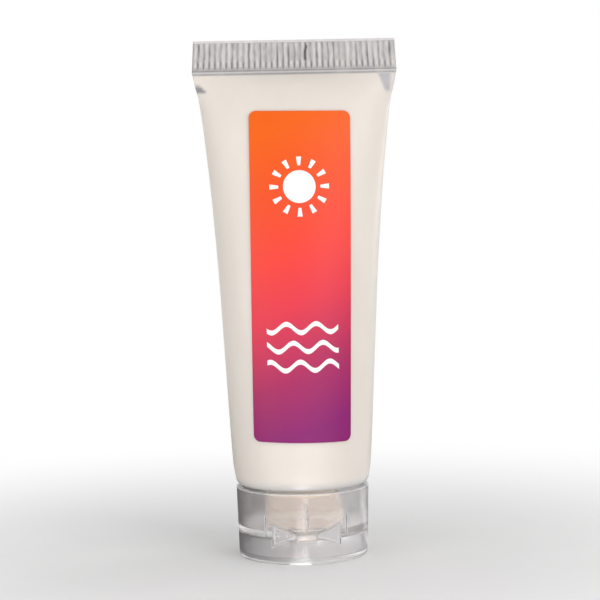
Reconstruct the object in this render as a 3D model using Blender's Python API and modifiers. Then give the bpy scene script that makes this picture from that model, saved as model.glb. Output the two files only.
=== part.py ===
"""Sunscreen tube that stands on its flip-top cap. Metres, +Z up.

The origin is the middle of the lid's flat face. The front, with the label and the hinge, faces -Y.
"""

import math

import bmesh
import bpy
from mathutils import Vector

# Fits between pieces
GAP = 0.0003
SNAP_GAP = 0.00015
OVERRUN = 0.001
MERGE = 0.000001
SMOOTH_ANGLE = math.radians(35)

# Sleeve: round where it meets the head, folded flat and sealed at the top
SLEEVE_DIAMETER = 0.0252
SLEEVE_WALL = 0.0004
SLEEVE_HEIGHT = 0.0835
SLEEVE_CORNER = 0.0015
CORNER_STEPS = 3
INSIDE_STEPS = 36

# Crimp: the sealed end, pressed between ribbed jaws
CRIMP_HEIGHT = 0.0059
CRIMP_RIBS = 36
RIB_RISE = 0.00013
RIB_RUN_OUT = 0.0003
SEAM_LINE_PITCH = 0.00025
SEAM_LINE_RISE = 0.0001

# How the sleeve widens and flattens: (share of the height below the crimp, share of the change)
SPREAD_SHARES = (
    (0.0, 0.0), (0.03, 0.06), (0.11, 0.12), (0.31, 0.245), (0.51, 0.37),
    (0.71, 0.54), (0.85, 0.70), (0.93, 0.82), (0.97, 0.93), (1.0, 1.0),
)
DEPTH_SHARES = (
    (0.0, 1.0), (0.11, 0.945), (0.31, 0.865), (0.51, 0.79), (0.71, 0.66),
    (0.85, 0.50), (0.93, 0.335), (0.97, 0.19), (1.0, 0.0),
)
RING_SHARES = (0.03, 0.11, 0.21, 0.31, 0.42, 0.53, 0.63, 0.72, 0.80, 0.87, 0.92, 0.955, 0.98, 1.0)
FOLD_START_SHARE = 0.86
WELD_SHARE = 0.98

# Labels, front and back alike. Each leaves a bare band of sleeve above the shoulder and below the crimp
LABEL_WIDTH = 0.01905
LABEL_ABOVE_SHOULDER = 0.0093
LABEL_BELOW_CRIMP = 0.0073
LABEL_CORNER = 0.0013
LABEL_FILM = 0.0002
LABEL_GAP = 0.0002
LABEL_COLUMNS = 10
LABEL_ROWS = 13
CORNER_SEGMENTS = 4
ARC_STEPS = 24

# Cap: its rim lies just inside the sleeve's surface, and it tapers down to the lid's face
CAP_INSET = 0.0001
CAP_TAPER = 0.00035
CAP_WALL = 0.0010
CAP_STEPS = 48
BASE_HEIGHT = 0.0082
EDGE = 0.00015

# Lid
LID_HEIGHT = 0.0048
LID_FLOOR = 0.0011
LID_CORNER = 0.0009
LID_RIB_THICKNESS = 0.0005
LID_RIB_REACH = 0.0010
LID_RIB_HEIGHT = 0.0026

# Spout in the base, and the plug on the lid that closes it
SPOUT_DIAMETER = 0.0055
SPOUT_BORE = 0.0032
SPOUT_CLEARANCE = 0.0005
PLUG_HEIGHT = 0.0023
PLUG_CLEARANCE = 0.0001
PLUG_TAPER = 0.0004
PLUG_WALL = 0.0005

# Base: deck, locating ring, socket on the neck, stiffening ribs
DECK_THICKNESS = 0.0010
DECK_RING_HEIGHT = 0.0008
DECK_RING_WALL = 0.0008
DECK_RING_CLEARANCE = 0.0004
SOCKET_WALL = 0.0010
SOCKET_DROP = 0.0018
BASE_RIB_THICKNESS = 0.0006
BASE_RIB_DROP = 0.0002
THUMB_RADIUS = 0.0060
THUMB_DEPTH = 0.0005

# Head: shoulder, neck and its snap bead
NECK_DIAMETER = 0.0124
NECK_BORE = 0.0078
SHOULDER_THICKNESS = 0.0013
SHOULDER_SLOPE = 0.0006
FLANGE_HEIGHT = 0.0019
FLANGE_WALL = 0.0008
NECK_CHAMFER = 0.0004
BEAD_RISE = 0.0004
BEAD_HEIGHT = 0.0008
BEAD_LEVEL = 0.0027

# Lotion: how far it fills the flattened top, and its air pockets at the two top corners
LOTION_SHARES = (0.05, 0.11, 0.21, 0.31, 0.42, 0.53, 0.63, 0.72, 0.80, 0.87, 0.92, 0.95, 0.97)
POCKET_START_SHARE = 0.90
POCKET_SHARE = 0.12

# Butterfly hinge on the front of the cap. Widths run along the wall, heights are above or below its axis
HINGE_PROUD = 0.0002
FILM_HALF_WIDTH = 0.00165
FILM_DROP = 0.0004
FILM_RISE = 0.0009
FILM_THICKNESS = 0.0003
PANEL_HALF_WIDTH = 0.0067
PANEL_RISE = 0.0024
PANEL_DROP = 0.0016
PANEL_TIP_RISE = 0.0006
PANEL_TIP_DROP = 0.0001
PANEL_THICKNESS = 0.0006
PANEL_CURVE = 1.5
PANEL_CURVE_STEPS = 5
RECESS_HALF_WIDTH = 0.0082
RECESS_RISE = 0.0040
RECESS_MIDDLE_HALF_WIDTH = 0.0023
RECESS_MIDDLE_RISE = 0.0015
RECESS_DEPTH = 0.0004
WRAP_STRIP = 0.0012

# Worked out from the sizes above
BASE_BOTTOM = LID_HEIGHT + GAP
BASE_TOP = BASE_BOTTOM + BASE_HEIGHT
DECK_TOP = BASE_BOTTOM + DECK_THICKNESS
SHOULDER_BOTTOM = BASE_TOP + GAP
TUBE_TOP = SHOULDER_BOTTOM + SLEEVE_HEIGHT
CRIMP_BOTTOM = TUBE_TOP - CRIMP_HEIGHT
CURL_TOP = SHOULDER_BOTTOM + SLEEVE_CORNER
LABEL_BOTTOM = SHOULDER_BOTTOM + LABEL_ABOVE_SHOULDER
LABEL_HEIGHT = CRIMP_BOTTOM - LABEL_BELOW_CRIMP - LABEL_BOTTOM
SLEEVE_RADIUS = SLEEVE_DIAMETER / 2
CRIMP_HALF_WIDTH = math.pi * (SLEEVE_RADIUS - SLEEVE_WALL) / 2
CURL_RADIUS = SLEEVE_RADIUS - SLEEVE_CORNER
NECK_RADIUS = NECK_DIAMETER / 2
NECK_END = DECK_TOP + GAP
SOCKET_RADIUS = NECK_RADIUS + SNAP_GAP
SOCKET_TOP = BASE_TOP - SOCKET_DROP
HINGE_HEIGHT = LID_HEIGHT + GAP / 2

PLASTIC = (0.86, 0.85, 0.86)
CREAM = (0.88, 0.83, 0.77)


def cap_radius(height):
    """Outer radius of the closed cap: one straight taper through the lid and the base."""
    return SLEEVE_RADIUS - CAP_INSET - CAP_TAPER * (1 - height / BASE_TOP)


HINGE_RADIUS = cap_radius(HINGE_HEIGHT)
LID_INNER_RADIUS = HINGE_RADIUS - CAP_WALL
PLATE_RADIUS = HINGE_RADIUS - RECESS_DEPTH / 2


def smooth_share(table, share):
    """Reads a table of shares along a smooth curve through its points."""
    for index in range(len(table) - 1):
        if share <= table[index + 1][0]:
            break
    (x0, y0), (x1, y1) = table[index], table[index + 1]
    before, after = table[max(index - 1, 0)], table[min(index + 2, len(table) - 1)]
    slope0 = (y1 - before[1]) / (x1 - before[0])
    slope1 = (after[1] - y0) / (after[0] - x0)
    span = x1 - x0
    t = (share - x0) / span
    return (
        (1 + 2 * t) * (1 - t) ** 2 * y0
        + t * (1 - t) ** 2 * span * slope0
        + t * t * (3 - 2 * t) * y1
        + t * t * (t - 1) * span * slope1
    )


def section(share):
    """Half width of the sleeve, and half depth inside its wall, at a share of the height up to the crimp."""
    spread = smooth_share(SPREAD_SHARES, share)
    half_width = SLEEVE_RADIUS + (CRIMP_HALF_WIDTH - SLEEVE_RADIUS) * spread
    return half_width, (SLEEVE_RADIUS - SLEEVE_WALL) * smooth_share(DEPTH_SHARES, share)


def height_at(share):
    return CURL_TOP + (CRIMP_BOTTOM - CURL_TOP) * share


def folded(half_width, half_hollow, half_solid, fold, steps):
    """A ring from an ellipse (fold 0) to a flat fold (fold 1). It starts at +X and runs anticlockwise.

    The hollow part of its depth closes in a curve to both ends. The solid part has flat faces once folded.
    """
    ring = []
    for index in range(steps):
        turn = 2 * math.pi * index / steps
        along = 1 - 4 * index / steps if 2 * index <= steps else 4 * index / steps - 3
        side = (2 * index < steps) - (2 * index > steps) if index else 0
        x = half_width * ((1 - fold) * math.cos(turn) + fold * along)
        solid = half_solid * ((1 - fold) * math.sin(turn) + fold * side)
        ring.append((x, half_hollow * math.sin(turn) + solid))
    return ring


def fold_at(share):
    """How far the section has turned from an ellipse into a flat fold."""
    rise = max(0, (share - FOLD_START_SHARE) / (1 - FOLD_START_SHARE))
    return rise * rise


def sleeve_ring(share, inset, steps):
    half_width, half_hollow = section(share)
    ring = folded(half_width - inset, half_hollow, SLEEVE_WALL - inset, fold_at(share), steps)
    return [(x, y, height_at(share)) for x, y in ring]


def circle_ring(radius, height, steps):
    return [(x, y, height) for x, y in folded(radius, radius, 0, 0, steps)]


def seam_ring(height, half_thickness):
    ring = folded(CRIMP_HALF_WIDTH, 0, half_thickness, 1, 2 * CRIMP_RIBS)
    return [(x, y, height) for x, y in ring]


def ribbed_ring(height, rise):
    """A ring of the crimp, waved to and fro by its ribs, the front and the back in step."""
    steps = 4 * CRIMP_RIBS
    ring = []
    for index, (x, y) in enumerate(folded(CRIMP_HALF_WIDTH, 0, SLEEVE_WALL, 1, steps)):
        wave = rise if index % 2 else -rise
        ring.append((x, y + wave * (y != 0), height))
    return ring


def add_ring(mesh, points):
    return [mesh.verts.new(point) for point in points]


def skin(mesh, lower, upper, inward=False):
    """Faces between two rings. One ring may have twice the points of the other."""
    count = min(len(lower), len(upper))
    low_share, high_share = len(lower) // count, len(upper) // count
    for index in range(count):
        low = [lower[(index * low_share + k) % len(lower)] for k in range(low_share + 1)]
        high = [upper[(index * high_share + k) % len(upper)] for k in range(high_share + 1)]
        face = low + high[::-1]
        mesh.faces.new(face[::-1] if inward else face)


def close_flat(mesh, ring, downward=False):
    """Closes a ring with strips across it, from its front half to its back half."""
    count = len(ring)
    for index in range(count // 2):
        strip = [ring[index], ring[index + 1], ring[(count - index - 1) % count], ring[-index]]
        strip = list(dict.fromkeys(strip))
        mesh.faces.new(strip[::-1] if downward else strip)


def collection_named(name):
    group = bpy.data.collections.new(name)
    bpy.context.scene.collection.children.link(group)
    return group


def paint(name, color, roughness, transmission=0.0):
    material = bpy.data.materials.new(name)
    material.use_nodes = True
    shader = material.node_tree.nodes["Principled BSDF"]
    shader.inputs["Base Color"].default_value = (*color, 1)
    shader.inputs["Roughness"].default_value = roughness
    shader.inputs["Metallic"].default_value = 0
    shader.inputs["Transmission Weight"].default_value = transmission
    material.diffuse_color = (*color, 1)
    return material


def add_object(name, mesh, group, material=None):
    """Turns a bmesh into an object in its group, shaded smooth across shallow edges."""
    data = bpy.data.meshes.new(name)
    mesh.to_mesh(data)
    mesh.free()
    data.shade_smooth()
    data.set_sharp_from_angle(angle=SMOOTH_ANGLE)
    if material:
        data.materials.append(material)
    made = bpy.data.objects.new(name, data)
    group.objects.link(made)
    return made


def hide_as_cutter(made):
    made.hide_render = True
    made.display_type = "WIRE"
    return made


def turned(name, profile, group, material, closed, steps):
    """A profile of (radius, height) points turned about Z. Its outer side runs from top to bottom."""
    mesh = bmesh.new()
    points = [mesh.verts.new((radius, 0, height)) for radius, height in profile]
    for first, second in zip(points, points[1:] + points[:1] * closed):
        mesh.edges.new((first, second))
    made = add_object(name, mesh, group, material)
    screw = made.modifiers.new("Turned", "SCREW")
    screw.steps = screw.render_steps = steps
    screw.use_merge_vertices = True
    screw.merge_threshold = MERGE
    screw.use_smooth_shade = True
    return made


def combine(target, other, operation):
    cut = target.modifiers.new(other.name, "BOOLEAN")
    cut.operation = operation
    cut.object = other
    cut.solver = "EXACT"


def box(name, low, high, group):
    """A box between two corners, used as a rib or a cutter."""
    mesh = bmesh.new()
    bmesh.ops.create_cube(mesh, size=1)
    low, high = Vector(low), Vector(high)
    bmesh.ops.scale(mesh, vec=high - low, verts=mesh.verts)
    bmesh.ops.translate(mesh, vec=(low + high) / 2, verts=mesh.verts)
    return hide_as_cutter(add_object(name, mesh, group))


def thickened(made, thickness):
    """Gives an open surface its thickness, inwards from the face it was drawn on."""
    solidify = made.modifiers.new("Thickness", "SOLIDIFY")
    solidify.thickness = thickness
    solidify.offset = -1
    solidify.use_even_offset = True


def wrapped_plate(name, outline, outer_radius, thickness, group, material=None):
    """An outline of (distance along the wall, height) points, bent round the cap at its hinge."""
    mesh = bmesh.new()
    mesh.faces.new([mesh.verts.new((along, 0, height)) for along, height in outline])
    left = min(along for along, _ in outline)
    right = max(along for along, _ in outline)
    strips = math.ceil((right - left) / WRAP_STRIP)
    for index in range(1, strips):
        place = left + (right - left) * index / strips
        parts = mesh.verts[:] + mesh.edges[:] + mesh.faces[:]
        bmesh.ops.bisect_plane(mesh, geom=parts, plane_co=(place, 0, 0), plane_no=(1, 0, 0))
    for vertex in mesh.verts:
        turn = vertex.co.x / HINGE_RADIUS
        vertex.co.x = outer_radius * math.sin(turn)
        vertex.co.y = -outer_radius * math.cos(turn)
    bmesh.ops.recalc_face_normals(mesh, faces=mesh.faces)
    mesh.normal_update()
    if next(iter(mesh.faces)).normal.y > 0:
        bmesh.ops.reverse_faces(mesh, faces=mesh.faces)
    made = add_object(name, mesh, group, material)
    thickened(made, thickness)
    return made


def grown(outline, margin):
    """The outline moved outwards by a margin. Its points run anticlockwise."""
    points = [Vector(point) for point in outline]
    moved = []
    for index, point in enumerate(points):
        before = (point - points[index - 1]).normalized()
        after = (points[(index + 1) % len(points)] - point).normalized()
        out_before = Vector((before.y, -before.x))
        out_after = Vector((after.y, -after.x))
        corner = (out_before + out_after) / (1 + out_before.dot(out_after))
        moved.append(tuple(point + corner * margin))
    return moved


def mirrored(outline):
    return [(-along, height) for along, height in reversed(outline)]


def film_outline():
    bottom, top = HINGE_HEIGHT - FILM_DROP, HINGE_HEIGHT + FILM_RISE
    return [
        (-FILM_HALF_WIDTH, bottom), (FILM_HALF_WIDTH, bottom),
        (FILM_HALF_WIDTH, top), (-FILM_HALF_WIDTH, top),
    ]


def panel_outline():
    """The wing at +X: a wide outer edge, a straight upper edge and a hollow lower edge."""
    tip = FILM_HALF_WIDTH + GAP
    points = []
    for index in range(PANEL_CURVE_STEPS + 1):
        reach = index / PANEL_CURVE_STEPS
        drop = PANEL_TIP_DROP + (PANEL_DROP - PANEL_TIP_DROP) * reach**PANEL_CURVE
        points.append((tip + (PANEL_HALF_WIDTH - tip) * reach, HINGE_HEIGHT - drop))
    points.append((PANEL_HALF_WIDTH, HINGE_HEIGHT + PANEL_RISE))
    points.append((tip, HINGE_HEIGHT + PANEL_TIP_RISE))
    return points


def recess_outline():
    """The shallow step in the base round the hinge, open at the parting line."""
    bottom = BASE_BOTTOM - OVERRUN
    right = [
        (RECESS_HALF_WIDTH, bottom),
        (RECESS_HALF_WIDTH, HINGE_HEIGHT + RECESS_RISE),
        (RECESS_MIDDLE_HALF_WIDTH, HINGE_HEIGHT + RECESS_MIDDLE_RISE),
    ]
    return right + mirrored(right)


def make_sleeve(group, material):
    """Outer skin, ribbed crimp and inner skin, sewn together at the curled lip."""
    mesh = bmesh.new()
    around, inner_around = 2 * CRIMP_RIBS, INSIDE_STEPS
    outer = []
    inner = []
    for index in range(CORNER_STEPS):
        turn = math.pi / 2 * index / CORNER_STEPS
        for rings, corner, count in (
            (outer, SLEEVE_CORNER, around),
            (inner, SLEEVE_CORNER - SLEEVE_WALL, inner_around),
        ):
            radius = CURL_RADIUS + corner * math.sin(turn)
            height = CURL_TOP - corner * math.cos(turn)
            rings.append(add_ring(mesh, circle_ring(radius, height, count)))
    for share in (0.0, *RING_SHARES):
        outer.append(add_ring(mesh, sleeve_ring(share, 0, around)))
        if share <= WELD_SHARE:
            inner.append(add_ring(mesh, sleeve_ring(share, SLEEVE_WALL, inner_around)))
    line = CRIMP_BOTTOM + SEAM_LINE_PITCH
    outer.append(add_ring(mesh, seam_ring(line, SLEEVE_WALL + SEAM_LINE_RISE)))
    outer.append(add_ring(mesh, seam_ring(line + SEAM_LINE_PITCH, SLEEVE_WALL - SEAM_LINE_RISE)))
    teeth = line + 2 * SEAM_LINE_PITCH
    for height, rise in (
        (teeth, 0),
        (teeth + RIB_RUN_OUT, RIB_RISE),
        (TUBE_TOP - RIB_RUN_OUT, RIB_RISE),
        (TUBE_TOP, RIB_RISE / 2),
    ):
        outer.append(add_ring(mesh, ribbed_ring(height, rise)))
    for lower, upper in zip(outer, outer[1:]):
        skin(mesh, lower, upper)
    for lower, upper in zip(inner, inner[1:]):
        skin(mesh, lower, upper, inward=True)
    skin(mesh, inner[0], outer[0])
    close_flat(mesh, outer[-1])
    close_flat(mesh, inner[-1], downward=True)
    return add_object("tube_sleeve", mesh, group, material)


def bead_points(radius, margin):
    """The snap bead on the neck, or its groove in the socket, from the upper end to the lower end."""
    middle = DECK_TOP + BEAD_LEVEL
    half = BEAD_HEIGHT / 2 + margin / 2
    return [
        (radius, middle + half + BEAD_RISE),
        (radius + BEAD_RISE, middle + half),
        (radius + BEAD_RISE, middle - half),
        (radius, middle - half - BEAD_RISE),
    ]


def make_head(group, material):
    """Shoulder and neck. The shoulder's rim nests inside the curled end of the sleeve."""
    corner = SLEEVE_CORNER - SLEEVE_WALL - GAP
    rim_radius = CURL_RADIUS + corner
    step_radius = CURL_RADIUS - GAP
    rim_bottom = CURL_TOP - corner
    rim_top = CURL_TOP + FLANGE_HEIGHT
    floor = SHOULDER_BOTTOM + SHOULDER_THICKNESS
    bore = NECK_BORE / 2
    profile = [(rim_radius, rim_top)]
    for index in range(CORNER_STEPS + 1):
        turn = math.pi / 2 * (1 - index / CORNER_STEPS)
        profile.append((CURL_RADIUS + corner * math.sin(turn), CURL_TOP - corner * math.cos(turn)))
    profile += [
        (step_radius, rim_bottom),
        (step_radius, SHOULDER_BOTTOM),
        (NECK_RADIUS + NECK_CHAMFER, SHOULDER_BOTTOM),
        (NECK_RADIUS, SHOULDER_BOTTOM - NECK_CHAMFER),
        *bead_points(NECK_RADIUS, 0),
        (NECK_RADIUS, NECK_END + NECK_CHAMFER),
        (NECK_RADIUS - NECK_CHAMFER, NECK_END),
        (bore, NECK_END),
        (bore, floor),
        (rim_radius - FLANGE_WALL, floor + SHOULDER_SLOPE),
        (rim_radius - FLANGE_WALL, rim_top),
    ]
    return turned("tube_head", profile, group, material, True, INSIDE_STEPS)


def make_lotion(group, material):
    """Lotion from the plug in the spout, through the neck, up to just below the crimp."""
    mesh = bmesh.new()
    spout = SPOUT_BORE / 2 - GAP
    neck = NECK_BORE / 2 - GAP
    floor = SHOULDER_BOTTOM + SHOULDER_THICKNESS
    rim = CURL_RADIUS + SLEEVE_CORNER - SLEEVE_WALL - GAP - FLANGE_WALL - GAP
    rim_top = CURL_TOP + FLANGE_HEIGHT + GAP
    rings = [
        circle_ring(radius, height, INSIDE_STEPS)
        for radius, height in (
            (spout, LID_FLOOR + PLUG_HEIGHT + GAP),
            (spout, NECK_END),
            (neck, NECK_END),
            (neck, floor + GAP),
            (rim, floor + SHOULDER_SLOPE + GAP),
            (rim, rim_top),
        )
    ]
    for share in LOTION_SHARES:
        ring = sleeve_ring(share, SLEEVE_WALL + GAP, INSIDE_STEPS)
        rise = max(0, (share - POCKET_START_SHARE) / (1 - POCKET_START_SHARE))
        rings.append([(x * (1 - POCKET_SHARE * rise), y, height) for x, y, height in ring])
    rings = [add_ring(mesh, ring) for ring in rings]
    for lower, upper in zip(rings, rings[1:]):
        skin(mesh, lower, upper)
    close_flat(mesh, rings[0], downward=True)
    close_flat(mesh, rings[-1])
    return add_object("lotion_fill", mesh, group, material)


def face_point(arc, height, lift):
    """A point above the sleeve's front, so far along the girth from the middle of that face."""
    half_width, half_hollow = section((height - CURL_TOP) / (CRIMP_BOTTOM - CURL_TOP))
    half_depth = half_hollow + SLEEVE_WALL
    turn = 0
    for _ in range(ARC_STEPS):
        turn += arc / ARC_STEPS / math.hypot(half_width * math.cos(turn), half_depth * math.sin(turn))
    normal = Vector((math.sin(turn) / half_width, -math.cos(turn) / half_depth, 0)).normalized()
    return Vector((half_width * math.sin(turn), -half_depth * math.cos(turn), height)) + normal * lift


def make_label(name, facing, group, material):
    """A rounded sheet that follows the sleeve. Facing is 1 on the front and -1 on the back."""
    mesh = bmesh.new()
    bmesh.ops.create_grid(mesh, x_segments=LABEL_COLUMNS, y_segments=LABEL_ROWS, size=1 / 2)
    bmesh.ops.scale(mesh, vec=(LABEL_WIDTH, LABEL_HEIGHT, 1), verts=mesh.verts)
    corners = [vertex for vertex in mesh.verts if len(vertex.link_edges) == 2]
    bmesh.ops.bevel(
        mesh, geom=corners, offset=LABEL_CORNER, segments=CORNER_SEGMENTS, profile=1 / 2, affect="VERTICES"
    )
    for vertex in mesh.verts:
        height = LABEL_BOTTOM + LABEL_HEIGHT / 2 + vertex.co.y
        place = face_point(vertex.co.x, height, LABEL_GAP + LABEL_FILM)
        vertex.co = (facing * place.x, facing * place.y, place.z)
    made = add_object(name, mesh, group, material)
    thickened(made, LABEL_FILM)
    return made


def make_lid(group, tools, material, hinge_cutters):
    """The lid: a shallow cup with the plug that closes the spout, and a small rib at the hinge."""
    plug = SPOUT_BORE / 2 - PLUG_CLEARANCE
    plug_top = LID_FLOOR + PLUG_HEIGHT
    hollow = plug - PLUG_TAPER - PLUG_WALL
    profile = [
        (0, LID_FLOOR),
        (hollow, LID_FLOOR),
        (hollow, plug_top),
        (plug - PLUG_TAPER, plug_top),
        (plug, LID_FLOOR),
        (LID_INNER_RADIUS - EDGE, LID_FLOOR),
        (LID_INNER_RADIUS, LID_FLOOR + EDGE),
        (LID_INNER_RADIUS, LID_HEIGHT),
        (cap_radius(LID_HEIGHT) - EDGE, LID_HEIGHT),
        (cap_radius(LID_HEIGHT), LID_HEIGHT - EDGE),
    ]
    corner_radius = cap_radius(LID_CORNER) - LID_CORNER
    for index in range(CORNER_STEPS + 1):
        turn = math.pi / 2 * index / CORNER_STEPS
        radius = corner_radius + LID_CORNER * math.cos(turn)
        profile.append((radius, LID_CORNER - LID_CORNER * math.sin(turn)))
    profile.append((0, 0))
    lid = turned("cap_lid", profile, group, material, False, CAP_STEPS)
    rib = box(
        "lid_rib",
        (-LID_RIB_THICKNESS / 2, -LID_INNER_RADIUS - CAP_WALL / 2, LID_FLOOR / 2),
        (LID_RIB_THICKNESS / 2, -LID_INNER_RADIUS + LID_RIB_REACH, LID_FLOOR + LID_RIB_HEIGHT),
        tools,
    )
    combine(lid, rib, "UNION")
    for cutter in hinge_cutters:
        combine(lid, cutter, "DIFFERENCE")
    axis = bpy.data.objects.new("lid_hinge_axis", None)
    axis.location = (0, -HINGE_RADIUS - HINGE_PROUD, HINGE_HEIGHT)
    axis.empty_display_size = LID_HEIGHT
    group.objects.link(axis)
    lid.parent = axis
    lid.location = -axis.location
    return lid


def make_base(group, tools, material, hinge_cutters):
    """The cap's base: skirt, deck with spout and locating ring, and the socket that grips the neck."""
    ring_outer = LID_INNER_RADIUS - DECK_RING_CLEARANCE
    ring_inner = ring_outer - DECK_RING_WALL
    ring_bottom = BASE_BOTTOM - DECK_RING_HEIGHT
    spout_end = LID_FLOOR + SPOUT_CLEARANCE
    bore = SPOUT_BORE / 2
    spout = SPOUT_DIAMETER / 2
    socket_outer = SOCKET_RADIUS + SOCKET_WALL
    profile = [
        (cap_radius(BASE_TOP) - EDGE, BASE_TOP),
        (cap_radius(BASE_TOP), BASE_TOP - EDGE),
        (cap_radius(BASE_BOTTOM), BASE_BOTTOM + EDGE),
        (cap_radius(BASE_BOTTOM) - EDGE, BASE_BOTTOM),
        (ring_outer, BASE_BOTTOM),
        (ring_outer, ring_bottom),
        (ring_inner, ring_bottom),
        (ring_inner, BASE_BOTTOM),
        (spout, BASE_BOTTOM),
        (spout, spout_end + EDGE),
        (spout - EDGE, spout_end),
        (bore, spout_end),
        (bore, DECK_TOP),
        (SOCKET_RADIUS, DECK_TOP),
        *reversed(bead_points(SOCKET_RADIUS, SNAP_GAP)),
        (SOCKET_RADIUS, SOCKET_TOP),
        (socket_outer, SOCKET_TOP),
        (socket_outer, DECK_TOP),
        (cap_radius(DECK_TOP) - CAP_WALL, DECK_TOP),
        (cap_radius(BASE_TOP) - CAP_WALL, BASE_TOP),
    ]
    base = turned("cap_base", profile, group, material, True, CAP_STEPS)
    in_wall = min(cap_radius(BASE_BOTTOM), cap_radius(BASE_TOP)) - CAP_WALL / 2
    for name, facing in (("base_rib_front", -1), ("base_rib_back", 1)):
        ends = sorted((facing * (socket_outer - SOCKET_WALL / 2), facing * in_wall))
        rib = box(
            name,
            (-BASE_RIB_THICKNESS / 2, ends[0], DECK_TOP - DECK_THICKNESS / 2),
            (BASE_RIB_THICKNESS / 2, ends[1], SOCKET_TOP - BASE_RIB_DROP),
            tools,
        )
        combine(base, rib, "UNION")
    for cutter in hinge_cutters:
        combine(base, cutter, "DIFFERENCE")
    mesh = bmesh.new()
    bmesh.ops.create_uvsphere(mesh, u_segments=CAP_STEPS // 2, v_segments=CAP_STEPS // 3, radius=THUMB_RADIUS)
    reach = cap_radius(BASE_BOTTOM) + THUMB_RADIUS - THUMB_DEPTH
    bmesh.ops.translate(mesh, vec=(0, reach, BASE_BOTTOM), verts=mesh.verts)
    combine(base, hide_as_cutter(add_object("thumb_scoop", mesh, tools)), "DIFFERENCE")
    return base


def make_hinge(group, tools, material):
    """The film and the two wings, and the cutters that leave room for them in the lid and the base."""
    wing = panel_outline()
    wrapped_plate("hinge_film", film_outline(), PLATE_RADIUS, FILM_THICKNESS, group, material)
    wrapped_plate("hinge_panel_right", wing, PLATE_RADIUS, PANEL_THICKNESS, group, material)
    wrapped_plate("hinge_panel_left", mirrored(wing), PLATE_RADIUS, PANEL_THICKNESS, group, material)
    outer = HINGE_RADIUS + OVERRUN
    through = outer - LID_INNER_RADIUS + GAP
    windows = []
    for name, outline in (
        ("film_window", film_outline()),
        ("wing_window_right", wing),
        ("wing_window_left", mirrored(wing)),
    ):
        window = wrapped_plate(name, grown(outline, GAP), outer, through, tools)
        windows.append(hide_as_cutter(window))
    recess = wrapped_plate("hinge_recess", recess_outline(), outer, OVERRUN + RECESS_DEPTH, tools)
    return windows, hide_as_cutter(recess)


def main():
    for old in list(bpy.data.objects):
        bpy.data.objects.remove(old)
    tube = collection_named("sunscreen_tube")
    tools = collection_named("cutters")
    clear = paint("frosted_polypropylene", PLASTIC, 0.3, 0.8)
    film = paint("clear_polyethylene", (0.90, 0.89, 0.88), 0.2, 0.8)
    windows, recess = make_hinge(tube, tools, clear)
    make_lid(tube, tools, clear, windows)
    make_base(tube, tools, clear, [recess, *windows])
    make_sleeve(tube, film)
    make_head(tube, paint("milky_polyethylene", (0.90, 0.88, 0.86), 0.35))
    make_lotion(tube, paint("lotion", CREAM, 0.25))
    make_label("front_label", 1, tube, paint("front_print", (0.80, 0.15, 0.13), 0.35))
    make_label("back_label", -1, tube, paint("back_print", (0.90, 0.90, 0.89), 0.4))


main()
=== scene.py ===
# %% [markdown]
# # A squeeze tube of sunscreen that stands on its cap
# The CAD frame gives every piece its place and size. This lesson dresses it: a clear sleeve over off-white
# lotion, a ribbed crimp, a frosted flip-top cap with a butterfly hinge, and two labels.
# Everything is in metres with +Z up. The front, with the label and the hinge, faces -Y.

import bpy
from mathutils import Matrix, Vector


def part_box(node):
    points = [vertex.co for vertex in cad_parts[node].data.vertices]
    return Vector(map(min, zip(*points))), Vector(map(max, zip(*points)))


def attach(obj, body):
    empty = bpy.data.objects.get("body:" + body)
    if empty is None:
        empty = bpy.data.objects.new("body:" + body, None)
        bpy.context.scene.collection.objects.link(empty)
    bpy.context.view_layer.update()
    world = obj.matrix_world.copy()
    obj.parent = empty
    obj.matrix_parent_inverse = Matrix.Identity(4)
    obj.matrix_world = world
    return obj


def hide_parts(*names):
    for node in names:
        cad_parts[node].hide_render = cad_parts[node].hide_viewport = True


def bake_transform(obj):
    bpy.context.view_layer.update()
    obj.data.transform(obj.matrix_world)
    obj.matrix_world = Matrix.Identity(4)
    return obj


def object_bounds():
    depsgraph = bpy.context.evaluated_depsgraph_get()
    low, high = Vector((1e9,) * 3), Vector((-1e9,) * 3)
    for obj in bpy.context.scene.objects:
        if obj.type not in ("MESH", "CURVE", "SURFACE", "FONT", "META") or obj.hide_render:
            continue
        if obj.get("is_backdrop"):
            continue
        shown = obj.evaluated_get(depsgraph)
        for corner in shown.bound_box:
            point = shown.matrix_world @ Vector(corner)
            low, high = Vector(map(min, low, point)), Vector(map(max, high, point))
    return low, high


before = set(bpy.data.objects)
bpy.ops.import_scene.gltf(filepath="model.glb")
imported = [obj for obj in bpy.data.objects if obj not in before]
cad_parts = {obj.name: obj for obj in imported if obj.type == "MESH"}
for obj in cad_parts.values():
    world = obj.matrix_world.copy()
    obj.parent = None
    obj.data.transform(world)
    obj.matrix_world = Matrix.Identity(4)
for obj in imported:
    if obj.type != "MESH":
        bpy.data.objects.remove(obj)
frame_box = [list(corner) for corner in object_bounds()]

# %% Tools that the lesson uses
import math

import bmesh
import bpy
from mathutils import Matrix, Vector, noise


def mm(*lengths):
    """Lengths in metres as rounded millimetres, for the lines that are printed."""
    return [round(length * 1000, 2) for length in lengths]


# %% [markdown]
# ## Sizes
# The solids and the looks share these sizes, so that each dressed piece sits exactly where its solid is. The
# sleeve and the labels are worked out from the same tables as in the CAD source.

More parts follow.
